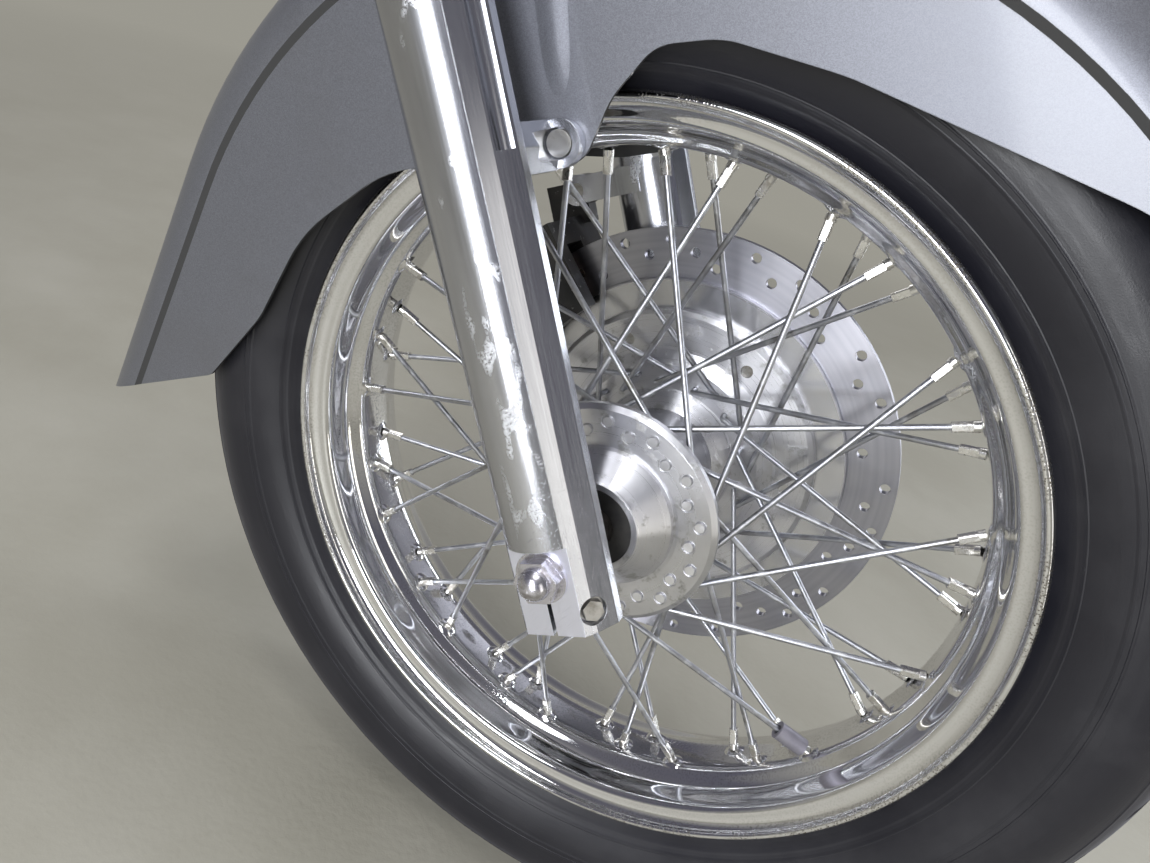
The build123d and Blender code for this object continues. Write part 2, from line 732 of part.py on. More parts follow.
# Fender: pressed steel, a rounded crown over flat skirts, straight towards the tail
crown_top_r = tyre_r + 32
crown_radius = 190.0
shoulder_radius = 30.0
shoulder_mid = 52.0
crease_r = crown_top_r - 37
crease_drop = 4.0
skirt_foot_r = 180.0
tail_start = 43.0
tail_length = 200.0
nose_end = -92.0
# side view of the lower edge, from the tail to the nose: ahead of the axle, up the fork, corner radius
edge_table = [
    (-262, 114, 12),
    (-203, 146, 60),
    (-150, 190, 110),
    (-75, 214, 90),
    (0, 196, 50),
    (38, 193.5, 16),
    (58, 219, 40),
    (84, 236, 22),
    (115, 231, 50),
    (165, 203, 150),
    (269, 128, 90),
    (303, 92, 60),
]
edge_start = (-420, 114)
edge_end = (360, 6)


def fender_outline(inset):
    """Half of the fender's closed section, drawn inside its outer face by the inset."""
    half = fender_half - inset
    skirt = skirt_half - inset
    centre_r = crown_top_r - crown_radius
    reach = crown_radius - shoulder_radius
    shoulder_y = fender_half - shoulder_radius
    shoulder_up = centre_r + sqrt(reach ** 2 - shoulder_y ** 2)
    corner = shoulder_radius - inset
    meet = (shoulder_y * (1 + corner / reach), shoulder_up + (shoulder_up - centre_r) * corner / reach)
    lean = radians(shoulder_mid)
    middle = (shoulder_y + corner * sin(lean), shoulder_up + corner * cos(lean))
    crown_mid = (meet[0] / 2, centre_r + sqrt((crown_radius - inset) ** 2 - meet[0] ** 2 / 4))
    with BuildLine() as outline:
        Polyline((0, skirt_foot_r), (skirt, skirt_foot_r), (skirt, crease_r - crease_drop),
                 (half, crease_r), (half, shoulder_up))
        ThreePointArc((half, shoulder_up), middle, meet)
        ThreePointArc(meet, crown_mid, (0, crown_top_r - inset))
        Line((0, crown_top_r - inset), (0, skirt_foot_r))
    return outline.edges()


tail_radial = ahead * -sin(radians(tail_start)) + up_stem * cos(radians(tail_start))
tail_section = Plane(origin=axle_centre, x_dir=across, z_dir=across.cross(tail_radial))
with BuildPart() as fender:
    for inset, mode in ((0, Mode.ADD), (fender_wall, Mode.SUBTRACT)):
        with BuildSketch(tail_section):
            make_face(fender_outline(inset))
            mirror(about=Plane.YZ)
        extrude(amount=-tail_length, mode=mode)
        with BuildSketch(tail_section):
            make_face(fender_outline(inset))
            mirror(about=Plane.YZ)
        revolve(axis=spin_axis, revolution_arc=tail_start - nose_end, mode=mode)
    with BuildSketch(wheel_side(fender_half + 10)):
        with BuildLine():
            FilletPolyline(edge_start, *[(along, up) for along, up, corner in edge_table], edge_end,
                           radius=[corner for along, up, corner in edge_table])
            Polyline(edge_end, (edge_end[0] + 60, edge_end[1]), (edge_end[0] + 60, 420), (edge_start[0], 420),
                     edge_start)
        make_face()
    extrude(amount=2 * fender_half + 20, mode=Mode.INTERSECT)
    with BuildSketch(fork_side(fender_half + 1)):
        with Locations((yoke_offset + arm_ahead, -axle_drop + arm_up)):
            Circle(eye_bolt_r + bolt_fit)
        with Locations((yoke_offset, -axle_drop + pad_up)):
            Circle(pad_bolt_r + bolt_fit)
    extrude(amount=2 * fender_half + 2, mode=Mode.SUBTRACT)
finish(fender, "fender")

bolt_thread = 8.0
with BuildPart() as fender_bolts:
    for side in (-1, 1):
        inside_y = side * (skirt_half - fender_wall)
        with BuildSketch(fork_side(side * (eye_out - eye_recess))):
            with Locations((yoke_offset + arm_ahead, -axle_drop + arm_up)):
                Circle(eye_bolt_r)
        extrude(amount=side * (eye_out - eye_recess - skirt_half + fender_wall + bolt_thread - 1))
        with BuildSketch(fork_side(side * (eye_out - eye_recess))):
            with Locations((yoke_offset + arm_ahead, -axle_drop + arm_up)):
                Circle(eye_recess_r - 1)
        extrude(amount=-side * (eye_recess - 0.5))
        with BuildSketch(fork_side(inside_y)):
            with Locations((yoke_offset + arm_ahead, -axle_drop + arm_up)):
                RegularPolygon(6, 6)
                Circle(eye_bolt_r + running_fit, mode=Mode.SUBTRACT)
        extrude(amount=side * 3.5)
        with BuildSketch(fork_side(inside_y)):
            with Locations((yoke_offset, -axle_drop + pad_up)):
                Circle(pad_bolt_r)
        extrude(amount=-side * bolt_thread)
        with BuildSketch(fork_side(inside_y)):
            with Locations((yoke_offset, -axle_drop + pad_up)):
                Circle(2 * pad_bolt_r)
        extrude(amount=side * 3)
finish(fender_bolts, "fender_bolts")

# Caliper: a cast body over the disc's edge, bolted to two lugs behind the left slider
caliper_inner_r = band_inner_r - 5
caliper_outer_r = disc_r + 23
caliper_from = 17.0
caliper_to = 43.0
caliper_mid = (caliper_from + caliper_to) / 2
pad_thick = 8.0
pad_gap = 0.4
disc_mid_y = band_y + band_thick / 2
slot_half = band_thick / 2 + pad_gap + pad_thick + seat_gap
caliper_out_y = 112.0
caliper_in_y = 45.0
bridge_r = disc_r + 6
piston_r = 17.0
piston_ring_r = disc_r - 16
port_y = caliper_out_y - 15


def sector(inner, outer, start, end):
    """Closed outline of a ring's sector in the wheel's side view."""
    middle = (start + end) / 2
    with BuildLine() as outline:
        ThreePointArc(polar(inner, start), polar(inner, middle), polar(inner, end))
        Line(polar(inner, end), polar(outer, end))
        ThreePointArc(polar(outer, end), polar(outer, middle), polar(outer, start))
        Line(polar(outer, start), polar(inner, start))
    return outline.edges()


with BuildPart() as caliper:
    with BuildSketch(wheel_side(caliper_out_y)):
        make_face(sector(caliper_inner_r, caliper_outer_r, caliper_from, caliper_to))
    extrude(amount=caliper_out_y - caliper_in_y)
    with BuildSketch(fork_side(caliper_face + 12)):
        for up, web_up in zip(caliper_lugs_up, caliper_webs_up):
            with Locations((yoke_offset - caliper_lug_back, -axle_drop + up)):
                Circle(caliper_lug_r)
            with Locations((yoke_offset - caliper_lug_back - 12, -axle_drop + (up + web_up) / 2)):
                Rectangle(30, 20 + abs(up - web_up) / 2)
    extrude(amount=12)
    with BuildSketch(wheel_side(disc_mid_y + slot_half)):
        make_face(sector(caliper_inner_r - 20, bridge_r, caliper_from - 12, caliper_to + 12))
    extrude(amount=2 * slot_half, mode=Mode.SUBTRACT)
    with BuildSketch(wheel_side(caliper_out_y)):
        for back in (caliper_mid - 6.5, caliper_mid + 6.5):
            with Locations(polar(piston_ring_r, back)):
                Circle(piston_r)
    extrude(amount=-5)
    with BuildSketch(fork_side(caliper_face + 13)):
        for up in caliper_lugs_up:
            with Locations((yoke_offset - caliper_lug_back, -axle_drop + up)):
                Circle(caliper_bolt_r + bolt_fit)
    extrude(amount=14, mode=Mode.SUBTRACT)
    port_base = Plane(origin=wheel_point(caliper_outer_r - 6, caliper_mid, port_y),
                      z_dir=wheel_point(1, caliper_mid, port_y) - wheel_point(0, caliper_mid, port_y))
    with BuildSketch(port_base):
        Circle(9)
    extrude(amount=10)
    with BuildSketch(port_base.offset(10)):
        Circle(5)
    extrude(amount=-14, mode=Mode.SUBTRACT)
finish(caliper, "caliper")

with BuildPart() as brake_pads:
    for pad_y in (disc_mid_y + band_thick / 2 + pad_gap + pad_thick, disc_mid_y - band_thick / 2 - pad_gap):
        with BuildSketch(wheel_side(pad_y)):
            make_face(sector(band_inner_r + 2, disc_r - 2, caliper_from + 2, caliper_to - 2))
        extrude(amount=pad_thick)
finish(brake_pads, "brake_pads")

with BuildPart() as caliper_bolts:
    for up in caliper_lugs_up:
        with BuildSketch(fork_side(caliper_face + 12)):
            with Locations((yoke_offset - caliper_lug_back, -axle_drop + up)):
                Circle(caliper_bolt_r)
        extrude(amount=20)
        with BuildSketch(fork_side(caliper_face + 12)):
            with Locations((yoke_offset - caliper_lug_back, -axle_drop + up)):
                RegularPolygon(8, 6, major_radius=False)
        extrude(amount=-6)
finish(caliper_bolts, "caliper_bolts")

# Balance weight: a lead sleeve crimped round one nipple of the right-hand row
weight_r = 5.8
weight_bore_r = nipple_flats / sqrt(2) - nipple_corner * (sqrt(2) - 1)
weight_start = nipple_collar + seat_gap
weight_length = 20.0
weight_group = 7
with BuildPart() as balance_weight:
    family, ring_r, lean, elbow_y, nipple_y = lacing[0]
    centre = first_group + row_shift + weight_group * pitch
    elbow = wheel_point(ring_r, centre + lean * (pair_half - hub_turn), -elbow_y)
    foot = wheel_point(nipple_foot_r, centre + lean * pair_half, -nipple_y)
    with BuildSketch(Plane(origin=foot + (elbow - foot).normalized() * weight_start, z_dir=elbow - foot)):
        Circle(weight_r)
        Circle(weight_bore_r, mode=Mode.SUBTRACT)
    extrude(amount=weight_length)
finish(balance_weight, "balance_weight")
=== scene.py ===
import json
from math import atan2, cos, hypot, pi, radians, sin

import bpy
from mathutils import Matrix, Vector


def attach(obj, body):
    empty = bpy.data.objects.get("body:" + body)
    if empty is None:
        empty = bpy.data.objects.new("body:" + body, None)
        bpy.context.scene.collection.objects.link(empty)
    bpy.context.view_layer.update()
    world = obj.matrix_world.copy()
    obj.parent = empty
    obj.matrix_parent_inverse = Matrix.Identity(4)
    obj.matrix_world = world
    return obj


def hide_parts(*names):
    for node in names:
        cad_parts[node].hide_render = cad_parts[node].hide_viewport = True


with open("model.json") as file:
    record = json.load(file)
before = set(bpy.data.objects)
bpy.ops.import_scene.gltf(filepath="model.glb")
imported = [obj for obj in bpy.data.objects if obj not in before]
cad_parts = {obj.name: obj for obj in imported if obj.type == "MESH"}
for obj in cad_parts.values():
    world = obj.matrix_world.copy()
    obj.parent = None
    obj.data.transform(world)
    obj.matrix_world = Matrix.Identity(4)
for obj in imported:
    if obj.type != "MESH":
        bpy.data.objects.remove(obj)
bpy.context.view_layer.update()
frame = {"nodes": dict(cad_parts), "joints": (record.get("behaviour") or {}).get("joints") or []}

nodes = frame["nodes"]

# Camera: it stands close to the wheel's right side, a little ahead of the axle and above it,
# and looks down and rearward, so that the axle is nearly in the middle of the frame.
axle = Vector(frame["joints"][0]["pos_m"])
camera_from_axle = Vector((0.0919, -0.4768, 0.2734))
view_right = Vector((0.8486, 0.4268, 0.3128))
view_up = Vector((-0.4648, 0.3188, 0.8261))
view_back = view_right.cross(view_up).normalized()
view_right = view_up.cross(view_back).normalized()
view_up = view_back.cross(view_right)
sensor_width = 36
focal_share = 875 / 1150  # focal length as a share of the frame's width
camera_data = bpy.data.cameras.new("camera")
camera_data.sensor_width = sensor_width
camera_data.lens = focal_share * sensor_width
camera_data.clip_start = 0.02
camera = bpy.data.objects.new("camera", camera_data)
camera.matrix_world = Matrix.Translation(axle + camera_from_axle) @ Matrix(
    (view_right, view_up, view_back)).transposed().to_4x4()
bpy.context.scene.collection.objects.link(camera)
bpy.context.scene.camera = camera
bpy.context.scene.view_settings.view_transform = "Standard"


# Rim: rolled from chromed steel strip, with a deep well and both edges turned over. The plating is bright,
# with fine pits where damp has sat: thick along the turned edges, some round the nipples, few on the flats.
class Finish:
    """A material, and the few node calls that all of the finishes are written with."""

    def __init__(self, name, colour, metallic, roughness, **more):
        self.material = bpy.data.materials.new(name)
        self.material.use_nodes = True
        self.tree = self.material.node_tree
        self.surface = self.tree.nodes["Principled BSDF"]
        self.lay({"Base Color": colour, "Metallic": metallic, "Roughness": roughness, **more})
        self.place = self.node("ShaderNodeTexCoord").outputs["Object"]

    def set(self, node, values):
        """Link each input to the socket that it is given, or set it to the value."""
        for socket, value in values.items():
            if isinstance(value, bpy.types.NodeSocket):
                self.tree.links.new(value, node.inputs[socket])
            elif node.inputs[socket].type == "RGBA":
                colour = value if isinstance(value, tuple) else (value, value, value)
                node.inputs[socket].default_value = (*colour, 1)
            else:
                node.inputs[socket].default_value = value

    def node(self, kind, values={}, **properties):
        """A node with its own properties, and its inputs set or linked."""
        made = self.tree.nodes.new(kind)
        for name, value in properties.items():
            setattr(made, name, value)
        self.set(made, values)
        return made

    def lay(self, values):
        """Give the surface its colour, gloss and the like."""
        self.set(self.surface, values)

    def maths(self, operation, first, second=0.0):
        """One sum, with the values or sockets that it takes."""
        return self.node("ShaderNodeMath", {0: first, 1: second}, operation=operation).outputs[0]

    def plus(self, first, second):
        return self.maths("ADD", first, second)

    def minus(self, first, second):
        return self.maths("SUBTRACT", first, second)

    def times(self, first, second):
        return self.maths("MULTIPLY", first, second)

    def vectors(self, operation, first, second):
        made = self.node("ShaderNodeVectorMath", {0: first, 1: second}, operation=operation)
        return made.outputs["Value" if operation in ("DOT_PRODUCT", "DISTANCE") else "Vector"]

    def noise(self, scale, detail=3.0, vector=None, rough=0.55):
        """Soft blotches, so many to a metre."""
        return self.node("ShaderNodeTexNoise", {"Vector": vector or self.place, "Scale": scale,
                                                "Detail": detail, "Roughness": rough}).outputs["Fac"]

    def cells(self, scale, output="Distance"):
        """Small cells, so many to a metre."""
        return self.node("ShaderNodeTexVoronoi", {"Vector": self.place, "Scale": scale}).outputs[output]

    def ramp(self, value, low, high, out_low=0.0, out_high=1.0):
        """The value taken from low..high to out_low..out_high, and held at the ends."""
        return self.node("ShaderNodeMapRange", {"Value": value, "From Min": low, "From Max": high,
                                                "To Min": out_low, "To Max": out_high}).outputs["Result"]

    def patches(self, scale, detail, low, high, out_low=0.0, out_high=1.0, **more):
        """Patches, so many to a metre: out_low where the noise is under low, out_high over high."""
        return self.ramp(self.noise(scale, detail, **more), low, high, out_low, out_high)

    def mix(self, share, first, second):
        return self.node("ShaderNodeMix", {0: share, 6: first, 7: second}, data_type="RGBA").outputs[2]

    def joined(self, x, y, z):
        return self.node("ShaderNodeCombineXYZ", {0: x, 1: y, 2: z}).outputs[0]

    def grain(self, across, along, lean=0.0):
        """Coordinates for a grain of this size in metres, which runs up a line that leans back."""
        size_and_lean = {"Vector": self.place, "Rotation": (0, -lean, 0), "Scale": (across, across, along)}
        return self.node("ShaderNodeMapping", size_and_lean, vector_type="TEXTURE").outputs[0]

    def off_axle(self):
        """The place measured from the axle's middle, in metres."""
        return self.vectors("ADD", self.place, tuple(-axle))

    def about_axle(self):
        """Distance from the axle's line, angle round it and place along it."""
        x, y, z = self.node("ShaderNodeSeparateXYZ", {0: self.off_axle()}).outputs
        radius = self.maths("SQRT", self.plus(self.times(x, x), self.times(z, z)))
        return radius, self.maths("ARCTAN2", x, z), y

    def from_axle(self, direction):
        """Distance from the axle's middle along a direction."""
        return self.vectors("DOT_PRODUCT", self.off_axle(), tuple(direction))

    def turned(self):
        """The direction that a lathe's rings run in, round the axle."""
        return self.node("ShaderNodeTangent", direction_type="RADIAL", axis="Y").outputs[0]

    def bump(self, height, distance, edge=0.0):
        """Fine relief, on edges that look rounded off by a radius in metres."""
        values = {"Height": height, "Distance": distance}
        if edge:
            values["Normal"] = self.node("ShaderNodeBevel", {"Radius": edge}, samples=4).outputs[0]
        self.lay({"Normal": self.node("ShaderNodeBump", values).outputs[0]})

    def wear(self, share, fresh, worn, fresh_rough, worn_rough):
        """Take the surface from one colour and roughness to another, by a share."""
        self.lay({"Base Color": self.mix(share, fresh, worn),
                  "Roughness": self.ramp(share, 0, 1, fresh_rough, worn_rough)})

    def dress(self, *names):
        """Put the finish on nodes of the CAD model."""
        for name in names:
            piece = nodes[name]
            piece.data.materials.clear()
            piece.data.materials.append(self.material)


def mesh_piece(name, points, faces, body, finish, smooth=35):
    """A mesh object that rides on a body, smooth where its faces meet at less than the angle."""
    mesh = bpy.data.meshes.new(name)
    mesh.from_pydata(points, [], faces)
    mesh.update()
    mesh.validate()
    mesh.shade_smooth()
    mesh.set_sharp_from_angle(angle=radians(smooth))
    mesh.materials.append(finish.material)
    piece = bpy.data.objects.new(name, mesh)
    bpy.context.scene.collection.objects.link(piece)
    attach(piece, body)
    return piece


def round_axle(y, r, turn):
    """The place y across the wheel and r out from its axle in millimetres, turned round it."""
    return axle + Vector((r * sin(turn), y, r * cos(turn))) * 0.001


def ring_faces(slices, points):
    """Faces between neighbouring slices of a ring, each slice a closed loop of points."""
    faces = []
    for number in range(slices):
        here, there = number * points, (number + 1) % slices * points
        for k in range(points):
            after = (k + 1) % points
            faces.append((here + k, there + k, there + after, here + after))
    return faces


# place across and radius, from the middle of the well out to the turned edge and back along the tyre's side
rim_half_section = [
    (0, 203.0), (8, 203.0), (12.5, 203.2), (16.2, 204.7), (19.6, 208.0), (23.2, 210.8), (28.5, 212.5),
    (34, 213.8), (37.4, 214.9), (39.6, 216.7), (40.4, 219.3), (41.3, 222.0), (42.8, 224.6), (44.8, 226.2),
    (46.6, 226.3), (47.9, 226.4), (49.0, 227.6), (48.9, 229.2), (47.8, 230.5), (46.0, 231.1), (43.8, 230.9),
    (41.6, 229.7), (39.8, 227.5), (38.8, 224.6), (38.5, 220.6), (38.1, 217.9), (36.0, 217.0), (30.0, 215.8),
    (25.0, 214.8), (20.8, 212.9), (15.8, 207.7), (12.6, 205.5), (8, 205.2), (0, 205.2)]
rim_slices = 240
chrome = (0.80, 0.80, 0.81)
chrome_pit = (0.20, 0.18, 0.15)
# radii in metres between which the damp sets in, on the turned edge and on the bed, and how much there
turned_edge = (0.2235, 0.2285)
rim_bed = (0.212, 0.204)
bed_damp = 0.22
pit_scale = 750
pit_edge = (0.50, 0.30)

rim_loop = rim_half_section + [(-y, r) for y, r in reversed(rim_half_section[1:-1])]
# one more point between each two, on the smooth curve through them and their neighbours
rim_section = []
for k in range(len(rim_loop)):
    before, first, second, after = (Vector(rim_loop[(k + step) % len(rim_loop)]) for step in (-1, 0, 1, 2))
    rim_section += [first, (9 * (first + second) - before - after) / 16]
rim_points = [round_axle(y, r, 2 * pi * number / rim_slices)
              for number in range(rim_slices) for y, r in rim_section]

rim_chrome = Finish("rim_chrome", chrome, 1.0, 0.05)
radius, angle, across = rim_chrome.about_axle()
damp_share = rim_chrome.maths("MAXIMUM", rim_chrome.ramp(radius, *turned_edge),
                              rim_chrome.times(rim_chrome.ramp(radius, *rim_bed), bed_damp))
pitted = rim_chrome.times(rim_chrome.patches(24, 4, 0.36, 0.52), rim_chrome.ramp(damp_share, 0, 1, 0.12, 1.0))
pits = rim_chrome.times(rim_chrome.ramp(rim_chrome.cells(pit_scale), *pit_edge), pitted)
haze = rim_chrome.patches(9, 5, 0.45, 0.75, 0.0, 0.06)
rim_chrome.lay({"Base Color": rim_chrome.mix(pits, chrome, chrome_pit),
                "Roughness": rim_chrome.plus(rim_chrome.times(pits, 0.4), rim_chrome.plus(haze, 0.04))})
waves = rim_chrome.noise(30, 1)
rim_chrome.bump(rim_chrome.minus(waves, rim_chrome.times(pits, 0.3)), 0.0001)

rolled_rim = mesh_piece("rolled_rim", rim_points, ring_faces(rim_slices, len(rim_section)),
                        "wheel", rim_chrome, smooth=60)
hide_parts("rim")

# Domes in the rim's bed: the strip is pressed from outside at each spoke hole before it is pierced, so that
# the nipple sits square to its spoke. On the hub's side a low chromed dome stands round each of the 52 holes.
fork_lean = radians(33)
fork_line = Vector((-sin(fork_lean), 0, cos(fork_lean)))
fork_ahead = Vector((cos(fork_lean), 0, sin(fork_lean)))
spoke_groups = 13
# degrees: half the shift between the left and right spokes' groups, and half the spread of a pair
flange_turn = 2.8
pair_turn = 5.45
# the way that a row's spokes lean, and its place across
nipple_rows = ((1, 10.4), (-1, 5.9))
bed_r = 203.0
bed_flat_half = 14
bed_slope = 0.96
# radius of each ring of a dome and its height over the bed
dome_rings = [(2.4, 1.0), (3.4, 1.15), (4.6, 0.95), (5.8, 0.45), (7.0, 0.05), (7.4, -0.4)]
dome_turns = 20

# the groups of spokes are counted back from the fork's line
dome_points = []
dome_faces = []
for side in (-1, 1):
    for lean, row_y in nipple_rows:
        for group in range(spoke_groups):
            back = radians(flange_turn - side * flange_turn + group * 360 / spoke_groups + lean * pair_turn)
            first = len(dome_points)
            for dome_r, rise in dome_rings:
                for turn in range(dome_turns):
                    out = row_y + dome_r * sin(2 * pi * turn / dome_turns)
                    top_r = bed_r + max(0, out - bed_flat_half) * bed_slope - rise
                    here = back + dome_r * cos(2 * pi * turn / dome_turns) / bed_r
                    dome_points.append(axle + (fork_line * cos(here) - fork_ahead * sin(here)) * top_r * 0.001
                                       + Vector((0, side * out * 0.001, 0)))
            for ring in range(len(dome_rings) - 1):
                for turn in range(dome_turns):
                    a = first + ring * dome_turns + turn
                    b = first + ring * dome_turns + (turn + 1) % dome_turns
                    dome_faces.append((a, b, b + dome_turns, a + dome_turns) if side == 1
                                      else (b, a, a + dome_turns, b + dome_turns))
mesh_piece("rim_domes", dome_points, dome_faces, "wheel", rim_chrome)

# Hub: cast in aluminium, turned all over and polished, with rows of spoke holes in both flanges.
# The lathe's rings draw the light out along each radius, and grey oxide has crept in round the holes.
hub_polished = (0.74, 0.74, 0.78)
hub_tarnished = (0.56, 0.56, 0.58)
hub_oxide = (0.44, 0.44, 0.44)
hub_ring_scale = 2200
spoke_holes_from = (0.047, 0.054)  # metres from the axle's line

hub_alloy = Finish("hub_alloy", (0.60, 0.60, 0.61), 1.0, 0.2, **{
    "Anisotropic": 0.75, "Anisotropic Rotation": 0.25})
radius, angle, across = hub_alloy.about_axle()
rings = hub_alloy.noise(1.0, 2, hub_alloy.joined(hub_alloy.times(radius, hub_ring_scale),
                                                 hub_alloy.times(across, hub_ring_scale), 0))
oxide = hub_alloy.patches(85, 6, 0.56, 0.66, rough=0.7)
tarnish = hub_alloy.patches(16, 4, 0.35, 0.7)
oxide_rough = hub_alloy.ramp(hub_alloy.ramp(radius, *spoke_holes_from), 0, 1, 0.05, 0.25)
hub_alloy.lay({
    "Base Color": hub_alloy.mix(oxide, hub_alloy.mix(tarnish, hub_polished, hub_tarnished), hub_oxide),
    "Roughness": hub_alloy.plus(hub_alloy.times(oxide, oxide_rough),
                                hub_alloy.ramp(rings, 0.3, 0.7, 0.26, 0.38)),
    "Tangent": hub_alloy.turned()})
hub_alloy.bump(hub_alloy.plus(rings, hub_alloy.times(oxide, 2)), 0.00003, edge=0.0004)
hub_alloy.dress("hub")

# Bearings and the steering stem: hardened steel, ground to size. The bearings are pressed deep into the hub's
# ends behind their seals, the stem is pressed into the lower yoke, and both carry a film of brown grease.
bare_steel = (0.55, 0.54, 0.53)
greased_steel = (0.26, 0.22, 0.16)

ground_steel = Finish("ground_steel", (0.50, 0.49, 0.48), 1.0, 0.3)
grease = ground_steel.patches(60, 4, 0.4, 0.65)
ground_steel.lay({"Base Color": ground_steel.mix(grease, bare_steel, greased_steel),
                  "Roughness": ground_steel.patches(300, 2, 0.3, 0.7, 0.22, 0.42)})
ground_steel.dress("bearing_right", "bearing_left", "steering_stem")

# Seals and valve stem: moulded in black rubber and pushed into place. The lips over the bearings and on top
# of the sliders, and the stem in the rim's hole, have a fine moulded skin with dust in its folds.
clean_rubber = (0.022, 0.022, 0.023)
dusty_rubber = (0.085, 0.08, 0.072)

seal_rubber = Finish("seal_rubber", (0.03, 0.03, 0.031), 0.0, 0.6)
dust = seal_rubber.patches(45, 5, 0.45, 0.75)
seal_rubber.wear(dust, clean_rubber, dusty_rubber, 0.5, 0.8)
seal_rubber.bump(seal_rubber.noise(1800, 2), 0.00004)
seal_rubber.dress("hub_seal_right", "hub_seal_left", "dust_seal_right", "dust_seal_left", "valve_stem")

# Spokes: drawn steel wire with bent, upset heads, hooked through the flanges and crossed. It is galvanised,
# so grey and dull with a faint white bloom, while the heads in the flanges are rubbed bright.
wire_zinc = (0.44, 0.45, 0.49)
wire_stain = (0.24, 0.23, 0.21)
wire_bloom = (0.58, 0.59, 0.61)
head_zinc = (0.78, 0.78, 0.80)
heads_from = (0.0532, 0.0540)  # metres out from the wheel's middle plane

spoke_zinc = Finish("spoke_zinc", (0.36, 0.37, 0.40), 1.0, 0.36)
bloom = spoke_zinc.patches(130, 5, 0.50, 0.68)
stain = spoke_zinc.patches(35, 3, 0.5, 0.75)
radius, angle, across = spoke_zinc.about_axle()
heads = spoke_zinc.ramp(spoke_zinc.maths("ABSOLUTE", across), *heads_from)
wire = spoke_zinc.mix(bloom, spoke_zinc.mix(stain, wire_zinc, wire_stain), wire_bloom)
spoke_zinc.lay({"Base Color": spoke_zinc.mix(heads, wire, head_zinc),
                "Roughness": spoke_zinc.ramp(bloom, 0, 1, 0.36, 0.55)})
spoke_zinc.bump(bloom, 0.00003)
spoke_zinc.dress("spokes_right", "spokes_left")

# Nipples: turned from brass with a square for the key, and nickel plated. They stand in the rim's domes and
# screw on to the spokes, brighter than the wire except where the key has worn the plating.
nickel = (0.76, 0.75, 0.73)
worn_nickel = (0.42, 0.39, 0.34)

nipple_nickel = Finish("nipple_nickel", (0.72, 0.71, 0.69), 1.0, 0.2)
worn = nipple_nickel.patches(160, 4, 0.5, 0.7)
nipple_nickel.wear(worn, nickel, worn_nickel, 0.26, 0.48)
nipple_nickel.bump(worn, 0.00003, edge=0.0003)
nipple_nickel.dress("nipples_right", "nipples_left")

# Balance weight: a slotted lead sleeve, pushed over one nipple and squeezed with pliers.
# It is dull and a little violet, with the dents of the jaws.
lead_dark = (0.20, 0.19, 0.23)
lead_light = (0.36, 0.35, 0.39)

lead_grey = Finish("lead_grey", (0.24, 0.23, 0.27), 0.6, 0.5)
lead_grey.lay({"Base Color": lead_grey.mix(lead_grey.noise(90, 3), lead_dark, lead_light)})
lead_grey.bump(lead_grey.noise(220, 4), 0.0003, edge=0.0006)
lead_grey.dress("balance_weight")

# Tyre: moulded black rubber over a textile carcass. The side walls are smooth with fine rings from the mould,
# and the tread has one straight groove, two that wander and a row of slanted cuts down each shoulder.
tread_pitches = 46
pitch_turn = 2 * pi / tread_pitches
# the slices in one pitch, in shares of it, and those at which the shoulders' cuts are sunk
pitch_slices = [0.0, 0.03, 0.17, 0.20, 0.47, 0.74]
cut_slices = (1, 2)
# millimetres, but for the slant, which is a share of a pitch
cut_depth = 4.5
cut_slant = 0.55
cut_from_y = 23.0
groove_depth = 5.5
groove_wander = 2.2
crown_r = 320.0
crown_flat = 6
# arcs of the section, each through three places across and radii: crown, outer and inner side wall
crown_arc = (crown_flat, 320), (30, 316.8), (46, 308)
outer_wall_arc = (46, 308), (57.5, 294), (61.6, 274)
inner_wall_arc = (61.6, 274), (57, 251), (44, 235)
# fine rings on the side wall: radius, height, half the width
wall_rings = [(301.5, 0.5, 1.2), (266.0, 0.45, 0.9), (262.5, 0.45, 0.9), (243.0, 0.7, 1.2), (239.0, 0.8, 1.4)]
# the part of a ring's width that is flat on top, and the shares of its height across and outward
ring_flat = 0.35
ring_across, ring_out = 0.8, 0.2
# where a ring's own rows lie, in shares of half its width
ring_steps = (-1, -0.3, 0.3, 1)
# points on the curves that places are read from, and points for the rows of both side wall arcs
crown_points, wall_points = 41, 60
outer_rows, inner_rows = 16, 22
# rows of the tread from its middle out: place across, in a groove, wanders, crossed by the shoulder's cuts
tread_rows = [(0.0, 1, 0, 0), (1.9, 1, 0, 0), (2.4, 0, 0, 0), (8.0, 0, 0, 0), (13.0, 0, 1, 0),
              (13.5, 1, 1, 0), (17.0, 1, 1, 0), (17.5, 0, 1, 0), (22.6, 0, 0, 0), (23.2, 0, 0, 1),
              (27.0, 0, 0, 1), (31.0, 0, 0, 1), (35.0, 0, 0, 1), (39.0, 0, 0, 1), (43.0, 0, 0, 1),
              (45.4, 0, 0, 1), (46.0, 0, 0, 0)]
# the bead and the inside of the carcass, back to the middle
inside_rows = [(38.2, 227.2), (37.9, 217.7), (28, 217.2), (42, 242), (52, 274), (42, 298), (0, 307)]
tyre_black = (0.011, 0.011, 0.016)
tyre_dust = (0.050, 0.049, 0.054)
tread_from = (0.304, 0.312)  # metres from the axle's line
# scuffs to a metre outward, and to a radian round the tyre
scuffs_outward, scuffs_round = 260, 9


